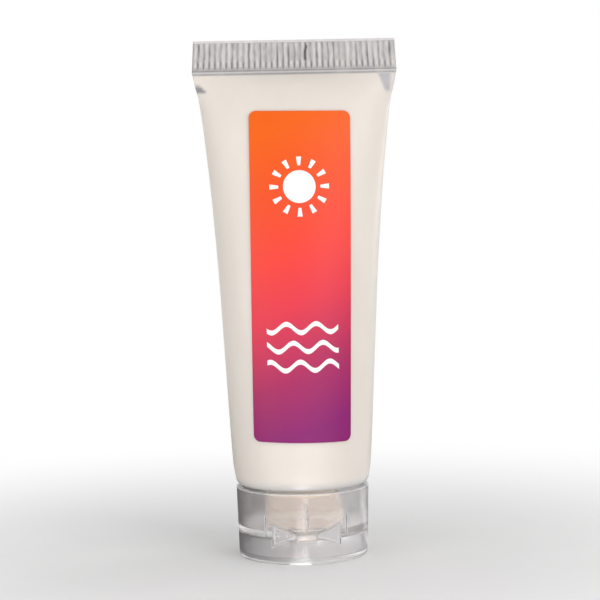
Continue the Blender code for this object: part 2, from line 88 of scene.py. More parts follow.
# %% Sizes shared with the solids
GAP = 0.0003
SNAP_GAP = 0.00015
SLEEVE_RADIUS = 0.0126
SLEEVE_WALL = 0.0004
SEEN_WALL = 0.00012
WET = 0.00003
SLEEVE_CORNER = 0.0015
CRIMP_HEIGHT = 0.0059
CRIMP_RIBS = 36
LABEL_WIDTH = 0.01880
LABEL_TILT = math.radians(0.9)
LABEL_CORNER = 0.0013
LABEL_FILM = 0.0002
LABEL_GAP = 0.0002
CAP_INSET = 0.0001
CAP_TAPER = 0.00035
CAP_WALL = 0.0010
LID_HEIGHT = 0.0048
LID_FLOOR = 0.0011
LID_CORNER = 0.0009
BASE_HEIGHT = 0.0082
DECK_THICKNESS = 0.0010
FLANGE_HEIGHT = 0.0019
BASE_BOTTOM = LID_HEIGHT + GAP
BASE_TOP = BASE_BOTTOM + BASE_HEIGHT
DECK_TOP = BASE_BOTTOM + DECK_THICKNESS
SHOULDER_BOTTOM = BASE_TOP + GAP
TUBE_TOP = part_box("tube_sleeve")[1].z
CRIMP_BOTTOM = TUBE_TOP - CRIMP_HEIGHT
CURL_TOP = SHOULDER_BOTTOM + SLEEVE_CORNER
FLANGE_TOP = CURL_TOP + FLANGE_HEIGHT
CURL_RADIUS = SLEEVE_RADIUS - SLEEVE_CORNER
CRIMP_HALF_WIDTH = math.pi * (SLEEVE_RADIUS - SLEEVE_WALL) / 2
HINGE_HEIGHT = LID_HEIGHT + GAP / 2
MERGE = 0.000001
print("Sleeve's foot, top and width at the crimp, mm:", mm(SHOULDER_BOTTOM, TUBE_TOP, CRIMP_HALF_WIDTH * 2))

# %% [markdown]
# ## How the sleeve turns from round to flat
# A squeeze tube starts as a pipe and its open end is pressed flat and welded. Its girth stays the same, so it
# gets wider as it gets flatter. Two tables give the width and the depth at any height, and a smooth curve
# runs through their points. `folded` then gives the outline there: an ellipse that turns into a flat fold.

# %% The sleeve's outline at any height
SPREAD_SHARES = (
    (0.0, 0.0), (0.03, 0.06), (0.11, 0.12), (0.31, 0.245), (0.51, 0.37),
    (0.71, 0.54), (0.85, 0.70), (0.93, 0.82), (0.97, 0.93), (1.0, 1.0),
)
DEPTH_SHARES = (
    (0.0, 1.0), (0.11, 0.945), (0.31, 0.865), (0.51, 0.79), (0.71, 0.66),
    (0.85, 0.50), (0.93, 0.335), (0.97, 0.19), (1.0, 0.0),
)
FOLD_START_SHARE = 0.86
WALL_THINS_OVER = 0.0012


def smooth_share(table, share):
    """Reads a table of shares along a smooth curve through its points."""
    for index in range(len(table) - 1):
        if share <= table[index + 1][0]:
            break
    (x0, y0), (x1, y1) = table[index], table[index + 1]
    before, after = table[max(index - 1, 0)], table[min(index + 2, len(table) - 1)]
    slope0 = (y1 - before[1]) / (x1 - before[0])
    slope1 = (after[1] - y0) / (after[0] - x0)
    span = x1 - x0
    t = (share - x0) / span
    return (
        (1 + 2 * t) * (1 - t) ** 2 * y0
        + t * (1 - t) ** 2 * span * slope0
        + t * t * (3 - 2 * t) * y1
        + t * t * (t - 1) * span * slope1
    )


def share_at(height):
    return (height - CURL_TOP) / (CRIMP_BOTTOM - CURL_TOP)


def section(height):
    """Half width of the sleeve, and half depth inside its wall, at a height below the crimp."""
    share = min(max(share_at(height), 0), 1)
    half_width = SLEEVE_RADIUS + (CRIMP_HALF_WIDTH - SLEEVE_RADIUS) * smooth_share(SPREAD_SHARES, share)
    return half_width, (SLEEVE_RADIUS - SLEEVE_WALL) * smooth_share(DEPTH_SHARES, share)


def folded(half_width, half_hollow, half_solid, fold, steps):
    """An outline from an ellipse (fold 0) to a flat fold (fold 1). It starts at +X and runs anticlockwise."""
    ring = []
    for index in range(steps):
        turn = 2 * math.pi * index / steps
        along = 1 - 4 * index / steps if 2 * index <= steps else 4 * index / steps - 3
        side = (2 * index < steps) - (2 * index > steps) if index else 0
        x = half_width * ((1 - fold) * math.cos(turn) + fold * along)
        solid = half_solid * ((1 - fold) * math.sin(turn) + fold * side)
        ring.append((x, half_hollow * math.sin(turn) + solid))
    return ring


def sleeve_ring(height, inset, steps):
    """The sleeve's outline at a height, so far inside its outer face."""
    half_width, half_hollow = section(height)
    rise = max(0, (share_at(height) - FOLD_START_SHARE) / (1 - FOLD_START_SHARE))
    ring = folded(half_width - inset, half_hollow, SLEEVE_WALL - inset, min(rise, 1) ** 2, steps)
    return [(x, y, height) for x, y in ring]


def circle_ring(radius, height, steps):
    return [(x, y, height) for x, y in folded(radius, radius, 0, 0, steps)]


def ease(value, low, high):
    """0 below low, 1 above high, and a smooth step between."""
    t = min(max((value - low) / (high - low), 0), 1)
    return t * t * (3 - 2 * t)


def wall_at(height):
    """Thickness of clear wall in front of the lotion. The curved wall magnifies what it holds, so the lotion
    seems to reach the outside, and above the head it is drawn that way."""
    return SLEEVE_WALL - (SLEEVE_WALL - SEEN_WALL) * ease(height, FLANGE_TOP, FLANGE_TOP + WALL_THINS_OVER)


def between(low, high, count):
    """Evenly spaced values from low to high, both ends included."""
    return [low + (high - low) * index / (count - 1) for index in range(count)]


print("Half width and half hollow halfway up, mm:", mm(*section((CURL_TOP + CRIMP_BOTTOM) / 2)))

# %% [markdown]
# ## Modelling ring by ring
# A tube is one outline that is extruded again and again. Each such piece starts as a circle primitive, and
# every extrusion of its rim is put on the outline that belongs there. A vertex keeps a number, its place
# round the rim, and an extrusion passes that number on.

# %% Helpers for pieces made ring by ring
def add_primitive(operator, name, location=(0, 0, 0), **settings):
    """Adds a primitive with nothing else selected, and names it."""
    bpy.ops.object.select_all(action="DESELECT")
    operator(location=location, **settings)
    made = bpy.context.object
    made.name = made.data.name = name
    return made


def start_rim(name, points):
    """Adds a circle primitive in edit mode, with its vertices on the first ring of points."""
    made = add_primitive(bpy.ops.mesh.primitive_circle_add, name, vertices=len(points), radius=SLEEVE_RADIUS)
    bpy.ops.object.mode_set(mode="EDIT")
    cage = bmesh.from_edit_mesh(made.data)
    place = cage.verts.layers.int.new("place")
    cage.verts.ensure_lookup_table()
    for index, vertex in enumerate(cage.verts):
        vertex[place] = index
        vertex.co = points[index]
    bmesh.update_edit_mesh(made.data)
    return made


def raise_rim(points):
    """Extrudes the selected rim once and puts it on a new ring of points."""
    bpy.ops.mesh.extrude_region_move()
    mesh = bpy.context.object.data
    cage = bmesh.from_edit_mesh(mesh)
    place = cage.verts.layers.int["place"]
    for vertex in cage.verts:
        if vertex.select:
            vertex.co = points[vertex[place]]
    bmesh.update_edit_mesh(mesh)


def close_piece(angle):
    """Merges what meets, turns every face outwards, leaves edit mode and smooths all but sharp corners."""
    bpy.ops.mesh.select_all(action="SELECT")
    bpy.ops.mesh.remove_doubles(threshold=MERGE)
    bpy.ops.mesh.dissolve_degenerate(threshold=MERGE / 10)
    bpy.ops.mesh.select_all(action="SELECT")
    bpy.ops.mesh.normals_make_consistent(inside=False)
    bpy.ops.object.mode_set(mode="OBJECT")
    bpy.ops.object.transform_apply()
    bpy.ops.object.shade_smooth_by_angle(angle=math.radians(angle))
    made = bpy.context.object
    print(made.name, "has", len(made.data.polygons), "faces")
    return made


# %% [markdown]
# ## The sleeve
# The sleeve is clear polyethylene, 0.4 mm thick. One sweep makes its whole wall: it starts at the weld inside
# the top, goes down the inner face, round the curled lip at the head, up the outer face and over the crimp.
# The first and the last ring are slits whose front and back meet, so merging closes both.
#
# The crimp is pressed between ribbed jaws. Its long ribs come out a little uneven, because the hot plastic
# wrinkles. Below them is a row of deeper teeth with round ends, and then two fine lines that run across.

# %% The crimp's relief
AROUND = 12 * CRIMP_RIBS
CREASE_X = 0.0020
CREASE_SHIFT = 0.0004
CREASE_TOP = TUBE_TOP - 0.0010
CREASE_DEPTH = 0.00035
CREASE_HALF_WIDTH = 0.00016
TEETH_BOTTOM = CRIMP_BOTTOM + 0.0004
TEETH_TOP = CRIMP_BOTTOM + 0.0019
TOOTH_ARCH = 0.0005
TOOTH_RISE = 0.00017
RIBS_TOP = TUBE_TOP - 0.0003
RIB_RISE = 0.00015
RIB_FLANK = (0.04, 0.30)
GROOVE_SHARE = 1.8
WRINKLE_RISE = 0.00009
PLAIN_EDGE = (0.0002, 0.0006)
CRIMP_LEAN = 0.018
SEAM_FOOT = 0.0006
SEAM_LINES = (
    (-0.00070, 0.0), (-0.00050, -0.00006), (-0.00034, -0.00004), (-0.00020, 0.00003), (-0.00006, 0.00011),
    (0.00006, 0.00008), (0.00018, -0.00008), (0.00028, -0.00010), (0.00036, -0.00002),
)


def seam_rise(lift):
    """The relief of the seam lines, so far above the crimp's foot."""
    return next((rise for top, rise in SEAM_LINES if lift <= top + MERGE), 0)


def crimp_wave(x, height):
    """How far the crimp stands forward: teeth below, long uneven ribs above, a plain strip on top."""
    rib = (x / CRIMP_HALF_WIDTH + 1) / 2 * CRIMP_RIBS
    above = ease(height, TEETH_TOP, TEETH_TOP + 0.0012)
    bend = 0.16 * noise.noise((rib * 0.6, height * 260, 3.1)) * above
    strength = min(max(0.62 + 1.3 * noise.noise((rib * 1.3, height * 160, 7.7)), 0.30), 1.3)
    away = abs((rib + bend + 0.5) % 1 - 0.5)
    groove = 1 - ease(away, *RIB_FLANK)
    low = TEETH_BOTTOM + TOOTH_ARCH * (2 * min(away, 0.5)) ** 2
    tooth = TOOTH_RISE * (1 - GROOVE_SHARE * groove) * ease(height, low, low + 0.0003)
    teeth_end = ease(height, TEETH_TOP - 0.0002, TEETH_TOP + 0.0002)
    long_rib = RIB_RISE * strength * (1 - GROOVE_SHARE * groove)
    fade = 1 - ease(height, RIBS_TOP - 0.0004, RIBS_TOP)
    edge = ease(CRIMP_HALF_WIDTH - abs(x), *PLAIN_EDGE)
    wrinkle = WRINKLE_RISE * noise.noise((rib * 2.3, height * 700, 1.3)) * above
    crease_x = CREASE_X + CREASE_SHIFT * ease(height, CREASE_TOP - 0.0012, CREASE_TOP)
    crease = CREASE_DEPTH * math.exp(-(((x - crease_x) / CREASE_HALF_WIDTH) ** 2))
    crease *= ease(height, TEETH_TOP, TEETH_TOP + 0.0005)
    crease *= 1 - ease(height, CREASE_TOP - 0.0003, CREASE_TOP)
    return (tooth + (long_rib - tooth) * teeth_end + wrinkle - crease) * fade * edge


def narrowing(height):
    """How much narrower the crimp gets towards its top, as a share of its width."""
    return 1 - CRIMP_LEAN * max(height - CRIMP_BOTTOM, 0) / CRIMP_HEIGHT


def crimp_ring(height):
    """An outline of the crimp, waved to and fro by its ribs, the front and the back in step."""
    ring = []
    for x, y in folded(CRIMP_HALF_WIDTH, 0, SLEEVE_WALL, 1, AROUND):
        ring.append((x * narrowing(height), y + crimp_wave(x, height) * (y != 0), height))
    return ring


print("Crimp:", CRIMP_RIBS, "ribs, and their pitch in mm:", mm(CRIMP_HALF_WIDTH * 2 / CRIMP_RIBS))

# %% Sweep the sleeve
INNER_WELD = CRIMP_BOTTOM - 0.0005
AT_HEAD = between(CURL_TOP, FLANGE_TOP, 5)
ON_BODY = (
    *between(FLANGE_TOP + WET, FLANGE_TOP + 0.0013, 5),
    *between(FLANGE_TOP + 0.0030, CRIMP_BOTTOM - 0.0180, 24),
    *between(CRIMP_BOTTOM - 0.0175, CRIMP_BOTTOM - 0.0008, 32),
)
IN_CRIMP = (*between(TEETH_BOTTOM, TEETH_TOP + 0.0004, 9), *between(TEETH_TOP + 0.0006, TUBE_TOP, 16))
CURLS = (
    (SLEEVE_CORNER - SLEEVE_WALL, between(math.pi / 2, 0, 7)[1:]),
    (SLEEVE_CORNER, between(0, math.pi / 2, 9)),
)
slit = [(x, 0, INNER_WELD + 0.0002) for x, y, z in sleeve_ring(INNER_WELD, SEEN_WALL, AROUND)]
sleeve = start_rim("sleeve", slit)
for height in (INNER_WELD, *reversed(ON_BODY), *reversed(AT_HEAD)):
    raise_rim(sleeve_ring(height, wall_at(height), AROUND))
for corner, turns in CURLS:
    for turn in turns:
        radius, height = CURL_RADIUS + corner * math.sin(turn), CURL_TOP - corner * math.cos(turn)
        raise_rim(circle_ring(radius, height, AROUND))
for height in (*AT_HEAD[1:], *ON_BODY):
    raise_rim(sleeve_ring(height, 0, AROUND))
for lift, relief in SEAM_LINES:
    ring = sleeve_ring(min(CRIMP_BOTTOM + lift, CRIMP_BOTTOM), 0, AROUND)
    raise_rim([(x, y + math.copysign(relief, y) * (y != 0), CRIMP_BOTTOM + lift) for x, y, z in ring])
for height in IN_CRIMP:
    raise_rim(crimp_ring(height))
raise_rim([(x, 0, z) for x, y, z in crimp_ring(TUBE_TOP)])
close_piece(40)

# %% [markdown]
# ## Two values kept on the sleeve
# The finish needs to know two things about each vertex: how far the crimp stands forward there, and whether
# air stands behind the film. Both are kept as attributes. Air stays in the two top corners, more on the
# right. Each row has the pocket's inner edge at top and foot, its outer edge at both, and its two heights.

# %% Mark the relief and the dry film
AIR_RIGHT = (0.0154, 0.0169, 0.0181, 0.0178, CRIMP_BOTTOM - 0.0043, CRIMP_BOTTOM - 0.0004)
AIR_LEFT = (0.0178, 0.0160, 0.0195, 0.0195, CRIMP_BOTTOM - 0.0041, CRIMP_BOTTOM - 0.0022)


def pocket_edges(x, height):
    """Inner and outer edge of the pocket on the side of x, and shares above its foot and under its top."""
    inner_top, inner_foot, outer_top, outer_foot, low, high = AIR_RIGHT if x > 0 else AIR_LEFT
    down = min(max((high - height) / (high - low), 0), 1)
    inner = inner_top + (inner_foot - inner_top) * down
    outer = outer_top + (outer_foot - outer_top) * down
    return inner, outer, ease(height, low, low + 0.0006), 1 - ease(height, high - 0.0004, high)


def air_behind(x, height):
    """1 in a pocket of air, less where the film only folds together beside it, 0 elsewhere."""
    inner, outer, risen, under = pocket_edges(x, height)
    folding = 0.7 * ease(abs(x), outer - 0.0005, outer + 0.0003)
    return ease(abs(x), inner - 0.0003, inner + 0.0005) * (1 - folding) * risen * under


relief = sleeve.data.attributes.new("relief", "FLOAT", "POINT")
dry = sleeve.data.attributes.new("dry", "FLOAT", "POINT")
for vertex in sleeve.data.vertices:
    x, y, z = vertex.co
    if z > TEETH_BOTTOM:
        relief.data[vertex.index].value = crimp_wave(x / narrowing(z), z)
    elif z > CRIMP_BOTTOM - SEAM_FOOT:
        relief.data[vertex.index].value = seam_rise(z - CRIMP_BOTTOM)
    if CURL_TOP < z < CRIMP_BOTTOM:
        dry.data[vertex.index].value = air_behind(x, z)

# %% [markdown]
# ## The lotion
# Lotion fills the tube from the plug in the spout up to the crimp and wets the wall. It is swept in the same
# way, and its upper rings are drawn in at the sides to leave the two pockets of air.

# %% Sweep the lotion
LOTION_AROUND = AROUND // 2
LOTION_TOP = CRIMP_BOTTOM - 0.0006
SPOUT_BORE = 0.0016
NECK_BORE = 0.0039
FLOOR = SHOULDER_BOTTOM + 0.0013
FLOOR_SLOPE = 0.0006
PLUG_TOP = LID_FLOOR + 0.0023
FLANGE_WALL = 0.0008
FLANGE_INNER = CURL_RADIUS + SLEEVE_CORNER - SLEEVE_WALL - GAP - FLANGE_WALL


def lotion_ring(height):
    """The sleeve's outline just inside its wall, drawn in beside the pockets of air."""
    half_width = section(height)[0]
    ring = []
    for x, y, z in sleeve_ring(height, wall_at(height) + WET, LOTION_AROUND):
        inner, _, risen, _ = pocket_edges(x, z)
        draw = (1 - min(inner / half_width, 1)) * risen
        ring.append((x * (1 - draw * ease(abs(x) / half_width, 0.5, 1)), y, z))
    return ring


lotion = start_rim("lotion", [(0, 0, PLUG_TOP + WET)] * LOTION_AROUND)
for radius, height in (
    (SPOUT_BORE, PLUG_TOP + WET),
    (SPOUT_BORE, DECK_TOP + GAP / 2),
    (NECK_BORE, DECK_TOP + GAP / 2),
    (NECK_BORE, FLOOR + WET),
    (FLANGE_INNER, FLOOR + FLOOR_SLOPE + WET),
    (FLANGE_INNER, FLANGE_TOP + WET),
):
    raise_rim(circle_ring(radius - WET, height, LOTION_AROUND))
for height in ON_BODY:
    raise_rim(lotion_ring(height))
raise_rim([(x, 0, z) for x, y, z in lotion_ring(LOTION_TOP)])
close_piece(50)

# %% [markdown]
# ## Turned pieces
# The head and both halves of the cap are round mouldings. Each is drawn as half a cross-section, vertex by
# vertex, and spun round Z. A real moulding has no knife edges, so each corner of the drawing may have a
# radius, which is the third number of its point.

# %% Helpers for turned pieces
ROUND_STEPS = 4


def rounded(points):
    """Replaces each (radius, height, corner) point that has a corner radius by a few points on its arc."""
    drawn = []
    for index, (x, z, corner) in enumerate(points):
        here = Vector((x, z))
        if not corner:
            drawn.append(here)
            continue
        before = Vector(points[index - 1][:2]) - here
        after = Vector(points[(index + 1) % len(points)][:2]) - here
        half_angle = before.angle(after) / 2
        reach = min(corner / math.tan(half_angle), before.length * 0.49, after.length * 0.49)
        start, end = here + before.normalized() * reach, here + after.normalized() * reach
        for share in between(0, 1, ROUND_STEPS + 1):
            drawn.append((1 - share) ** 2 * start + 2 * share * (1 - share) * here + share**2 * end)
    return drawn


def draw_loop(name, points):
    """Draws a closed loop in the XZ plane as by hand: one vertex is extruded from point to point."""
    loop = [Vector((x, 0, z)) for x, z in (*points, points[0])]
    made = add_primitive(bpy.ops.mesh.primitive_plane_add, name, loop[0], size=MERGE)
    bpy.ops.object.mode_set(mode="EDIT")
    bpy.ops.mesh.select_all(action="SELECT")
    bpy.ops.mesh.merge(type="CENTER")
    for before, after in zip(loop, loop[1:]):
        bpy.ops.mesh.extrude_vertices_move(TRANSFORM_OT_translate={"value": after - before})
    bpy.ops.mesh.select_all(action="SELECT")
    bpy.ops.mesh.remove_doubles(threshold=MERGE)
    bpy.ops.mesh.select_all(action="SELECT")
    return made


def spin_piece(name, points, steps):
    """Draws a closed cross-section of (radius, height, corner) points and spins it once round Z."""
    draw_loop(name, rounded(points))
    bpy.ops.mesh.spin(steps=steps, angle=2 * math.pi, center=(0, 0, 0), axis=(0, 0, 1))
    return close_piece(35)


# %% [markdown]
# ## The head
# The head is a milky moulding: a shoulder disc whose rim nests in the sleeve's curled end, and the neck that
# the cap grips by a small bead. It shows softly through the cap.

# %% Spin the head
NECK_RADIUS = 0.0062
NECK_END = DECK_TOP + GAP
BEAD_RISE = 0.0004
BEAD_HALF = 0.0004
BEAD_MIDDLE = DECK_TOP + 0.0027
HEAD_CORNER = SLEEVE_CORNER - SLEEVE_WALL - WET
rim_radius = CURL_RADIUS + HEAD_CORNER
head = spin_piece("head", [
    (rim_radius, FLANGE_TOP, 0.00002),
    (rim_radius, CURL_TOP - HEAD_CORNER, HEAD_CORNER),
    (CURL_RADIUS - GAP, CURL_TOP - HEAD_CORNER, 0),
    (CURL_RADIUS - GAP, SHOULDER_BOTTOM, 0.0001),
    (NECK_RADIUS, SHOULDER_BOTTOM, 0.0004),
    (NECK_RADIUS, BEAD_MIDDLE + BEAD_HALF + BEAD_RISE, 0.0001),
    (NECK_RADIUS + BEAD_RISE, BEAD_MIDDLE + BEAD_HALF, 0.0002),
    (NECK_RADIUS + BEAD_RISE, BEAD_MIDDLE - BEAD_HALF, 0.0002),
    (NECK_RADIUS, BEAD_MIDDLE - BEAD_HALF - BEAD_RISE, 0.0001),
    (NECK_RADIUS, NECK_END, 0.0004),
    (NECK_BORE, NECK_END, 0.0001),
    (NECK_BORE, FLOOR, 0.0002),
    (FLANGE_INNER, FLOOR + FLOOR_SLOPE, 0.0002),
    (FLANGE_INNER, FLANGE_TOP, 0.0002),
], 96)

# %% [markdown]
# ## Plates that follow the cap's wall
# The film, the wings, the step round them and the windows that they sit in all follow the cap's round wall.
# Each is drawn flat as an outline, cut into strips, wrapped round the cap and made solid by Solidify.

# %% Helpers for the cap's wall
def cap_radius(height):
    """Outer radius of the closed cap: one straight taper through the lid and the base."""
    return SLEEVE_RADIUS - CAP_INSET - CAP_TAPER * (1 - height / BASE_TOP)


HINGE_RADIUS = cap_radius(HINGE_HEIGHT)
LID_INNER_RADIUS = HINGE_RADIUS - CAP_WALL
STRIP = 0.0006
OVERRUN = 0.001


def modify(made, kind, **settings):
    """Adds one modifier, sets it and applies it."""
    modifier = made.modifiers.new(kind.title(), kind)
    for name, value in settings.items():
        setattr(modifier, name, value)
    bpy.ops.object.select_all(action="DESELECT")
    made.select_set(True)
    bpy.context.view_layer.objects.active = made
    bpy.ops.object.modifier_apply(modifier=modifier.name)


def cut_strips(low, high, count, axis):
    """Cuts a flat sheet in edit mode into so many strips across an axis, between its two ends."""
    for place in between(low, high, count + 1)[1:-1]:
        bpy.ops.mesh.select_all(action="SELECT")
        bpy.ops.mesh.bisect(plane_co=Vector(axis) * place, plane_no=axis)


def wrapped_plate(name, outline, outer_radius, thickness, panel=None):
    """An outline of (distance along the wall, height) points, bent round the cap and made solid inwards.

    Panel is the width of a rim, the width of a slope inside it, and how deep the field within lies.
    """
    made = draw_loop(name, outline)
    bpy.ops.mesh.edge_face_add()
    rim, slope, depth = panel or (0, 0, 0)
    inside = bmesh.from_edit_mesh(made.data).faces.layers.int.new("inside")
    if panel:
        bpy.ops.mesh.inset(thickness=rim)
        for face in bmesh.from_edit_mesh(made.data).faces:
            face[inside] = face.select
        bpy.ops.mesh.inset(thickness=slope)
    low, high = min(outline)[0], max(outline)[0]
    cut_strips(low, high, math.ceil((high - low) / STRIP), (1, 0, 0))
    cage = bmesh.from_edit_mesh(made.data)
    inside = cage.faces.layers.int["inside"]
    sunk = {i for i, vertex in enumerate(cage.verts) if all(face[inside] for face in vertex.link_faces)}
    bpy.ops.object.mode_set(mode="OBJECT")
    bpy.ops.object.transform_apply()
    for vertex in made.data.vertices:
        turn = vertex.co.x / HINGE_RADIUS
        radius = outer_radius - depth * (vertex.index in sunk)
        vertex.co = (radius * math.sin(turn), -radius * math.cos(turn), vertex.co.z)
    bpy.ops.object.mode_set(mode="EDIT")
    bpy.ops.mesh.select_all(action="SELECT")
    bpy.ops.mesh.normals_make_consistent(inside=False)
    if bmesh.from_edit_mesh(made.data).faces[:][0].normal.y > 0:
        bpy.ops.mesh.flip_normals()
    bpy.ops.object.mode_set(mode="OBJECT")
    modify(made, "SOLIDIFY", thickness=thickness, offset=-1, use_even_offset=True)
    return made


def grown(outline, margin):
    """The outline moved outwards by a margin. Its points run anticlockwise."""
    points = [Vector(point) for point in outline]
    moved = []
    for index, point in enumerate(points):
        before = (point - points[index - 1]).normalized()
        after = (points[(index + 1) % len(points)] - point).normalized()
        out_before = Vector((before.y, -before.x))
        out_after = Vector((after.y, -after.x))
        corner = (out_before + out_after) / (1 + out_before.dot(out_after))
        moved.append(tuple(point + corner * margin))
    return moved


def mirrored(outline):
    return [(-along, height) for along, height in reversed(outline)]


def combine(made, tool, operation):
    """Joins or cuts with another mesh, which is then removed."""
    modify(made, "BOOLEAN", object=tool, operation=operation, solver="EXACT")
    bpy.data.objects.remove(tool)


def join_rib(made, width, back, front, low, high):
    """Joins a thin upright box in the YZ plane into a moulding."""
    middle, size = (0, (back + front) / 2, (low + high) / 2), (width, back - front, high - low)
    rib = add_primitive(bpy.ops.mesh.primitive_cube_add, "rib", middle, size=1, scale=size)
    bpy.ops.object.transform_apply()
    combine(made, rib, "UNION")


print("The cap's width at its rim and at its face, mm:", mm(cap_radius(BASE_TOP) * 2, cap_radius(0) * 2))

# %% Outlines of the hinge
WINDOW_GAP = 0.00006
EDGE_BEVEL = 0.00011
FILM_HALF_WIDTH = 0.00165
FILM_BELOW = 0.0004
FILM_ABOVE = 0.0009
PANEL_HALF_WIDTH = 0.0067
PANEL_DROP = (0.0001, 0.0015)
PANEL_RISE = (0.0006, 0.0024)
STEP_FOOT = 0.0082
STEP_HEAD = 0.0023
STEP_RISE = (0.0015, 0.0040)
STEP_DEPTH = 0.0004
wing_tip = FILM_HALF_WIDTH + GAP
film_half = [
    (wing_tip - WINDOW_GAP, HINGE_HEIGHT - FILM_BELOW),
    (wing_tip - WINDOW_GAP, HINGE_HEIGHT + FILM_ABOVE),
]
wing_outline = []
for reach in between(0, 1, 9):
    drop = PANEL_DROP[0] + PANEL_DROP[1] * reach**1.5
    wing_outline.append((wing_tip + (PANEL_HALF_WIDTH - wing_tip) * reach, HINGE_HEIGHT - drop))
wing_outline += [(PANEL_HALF_WIDTH, HINGE_HEIGHT + PANEL_RISE[1]), (wing_tip, HINGE_HEIGHT + PANEL_RISE[0])]
step_half = [
    (STEP_FOOT, BASE_BOTTOM - OVERRUN),
    (STEP_FOOT, HINGE_HEIGHT + STEP_RISE[1]),
    (STEP_HEAD, HINGE_HEIGHT + STEP_RISE[0]),
]
film_outline = film_half + mirrored(film_half)
step_outline = step_half + mirrored(step_half)


def cut_windows(made):
    """Cuts the openings in which the film and the wings sit, a little larger than these."""
    outer = HINGE_RADIUS + OVERRUN
    for outline in (film_outline, wing_outline, mirrored(wing_outline)):
        window = wrapped_plate("window", grown(outline, WINDOW_GAP), outer, outer - LID_INNER_RADIUS + GAP)
        combine(made, window, "DIFFERENCE")


# %% [markdown]
# ## The cap's base
# The base is one frosted moulding: outer skirt, deck, spout, the socket that grips the neck and two thin ribs
# that stiffen it. It is spun and the ribs are joined in. Then the shallow step round the hinge, the windows
# and the thumb scoop at the back are cut.

# %% Make the base
CAP_STEPS = 128
EDGE = 0.00018
SPOUT_RADIUS = 0.00275
RING_SIZE = 0.0008
SOCKET_WALL = 0.0010
SOCKET_DROP = 0.0018
BASE_RIB_WIDTH = 0.0006
SCOOP_RADIUS = 0.0060
SCOOP_SHIFT = 0.0055
SOCKET_RADIUS = NECK_RADIUS + SNAP_GAP
SOCKET_OUTER = SOCKET_RADIUS + SOCKET_WALL
SOCKET_TOP = BASE_TOP - SOCKET_DROP
ring_outer = LID_INNER_RADIUS - 0.0004
spout_end = LID_FLOOR + 0.0005
groove = BEAD_HALF + SNAP_GAP / 2
base = spin_piece("base", [
    (cap_radius(BASE_TOP), BASE_TOP, EDGE),
    (cap_radius(BASE_BOTTOM), BASE_BOTTOM, EDGE),
    (ring_outer, BASE_BOTTOM, 0),
    (ring_outer, BASE_BOTTOM - RING_SIZE, 0.0002),
    (ring_outer - RING_SIZE, BASE_BOTTOM - RING_SIZE, 0.0002),
    (ring_outer - RING_SIZE, BASE_BOTTOM, 0),
    (SPOUT_RADIUS, BASE_BOTTOM, 0.0003),
    (SPOUT_RADIUS, spout_end, 0.0003),
    (SPOUT_BORE, spout_end, 0.0001),
    (SPOUT_BORE, DECK_TOP, 0.0002),
    (SOCKET_RADIUS, DECK_TOP, 0.0002),
    (SOCKET_RADIUS, BEAD_MIDDLE - groove - BEAD_RISE, 0),
    (SOCKET_RADIUS + BEAD_RISE, BEAD_MIDDLE - groove, 0.0001),
    (SOCKET_RADIUS + BEAD_RISE, BEAD_MIDDLE + groove, 0.0001),
    (SOCKET_RADIUS, BEAD_MIDDLE + groove + BEAD_RISE, 0),
    (SOCKET_RADIUS, SOCKET_TOP, 0.0002),
    (SOCKET_OUTER, SOCKET_TOP, 0.0002),
    (SOCKET_OUTER, DECK_TOP, 0.0003),
    (cap_radius(DECK_TOP) - CAP_WALL, DECK_TOP, 0.0003),
    (cap_radius(BASE_TOP) - CAP_WALL, BASE_TOP, 0.0002),
], CAP_STEPS)
rib_start, rib_end = SOCKET_OUTER - SOCKET_WALL / 2, cap_radius(BASE_BOTTOM) - CAP_WALL / 2
for back, front in ((-rib_start, -rib_end), (rib_end, rib_start)):
    join_rib(base, BASE_RIB_WIDTH, back, front, DECK_TOP - DECK_THICKNESS / 2, SOCKET_TOP - 0.0002)
combine(base, wrapped_plate("step", step_outline, HINGE_RADIUS + OVERRUN, OVERRUN + STEP_DEPTH), "DIFFERENCE")
cut_windows(base)
scoop = add_primitive(
    bpy.ops.mesh.primitive_uv_sphere_add, "scoop", (0, cap_radius(BASE_BOTTOM) + SCOOP_SHIFT, BASE_BOTTOM),
    segments=64, ring_count=40, radius=SCOOP_RADIUS
)
bpy.ops.object.transform_apply()
combine(base, scoop, "DIFFERENCE")
print("Base:", len(base.data.polygons), "faces after cutting")

# %% [markdown]
# ## The lid
# The lid is a shallow cup. Its plug closes the spout, and a short rib stands inside the wall by the hinge.
# The tube stands on its flat face, whose edge has the largest radius of the cap.

# %% Make the lid
PLUG_WALL = 0.0009
PLUG_TAPER = 0.0004
LID_RIB_WIDTH = 0.0005
LID_RIB_DEPTH = 0.0010
LID_RIB_RISE = 0.0026
plug = SPOUT_BORE - 0.0001
lid = spin_piece("lid", [
    (0, LID_FLOOR, 0),
    (plug - PLUG_WALL, LID_FLOOR, 0.0001),
    (plug - PLUG_WALL, PLUG_TOP, 0.0001),
    (plug - PLUG_TAPER, PLUG_TOP, 0.0001),
    (plug, LID_FLOOR, 0.0002),
    (LID_INNER_RADIUS, LID_FLOOR, 0.0004),
    (LID_INNER_RADIUS, LID_HEIGHT, 0.0001),
    (cap_radius(LID_HEIGHT), LID_HEIGHT, EDGE),
    (cap_radius(0), 0, LID_CORNER),
    (0, 0, 0),
], CAP_STEPS)
back, front = LID_RIB_DEPTH - LID_INNER_RADIUS, -LID_INNER_RADIUS - CAP_WALL / 2
join_rib(lid, LID_RIB_WIDTH, back, front, LID_FLOOR / 2, LID_FLOOR + LID_RIB_RISE)
cut_windows(lid)
print("Lid:", len(lid.data.polygons), "faces after cutting")

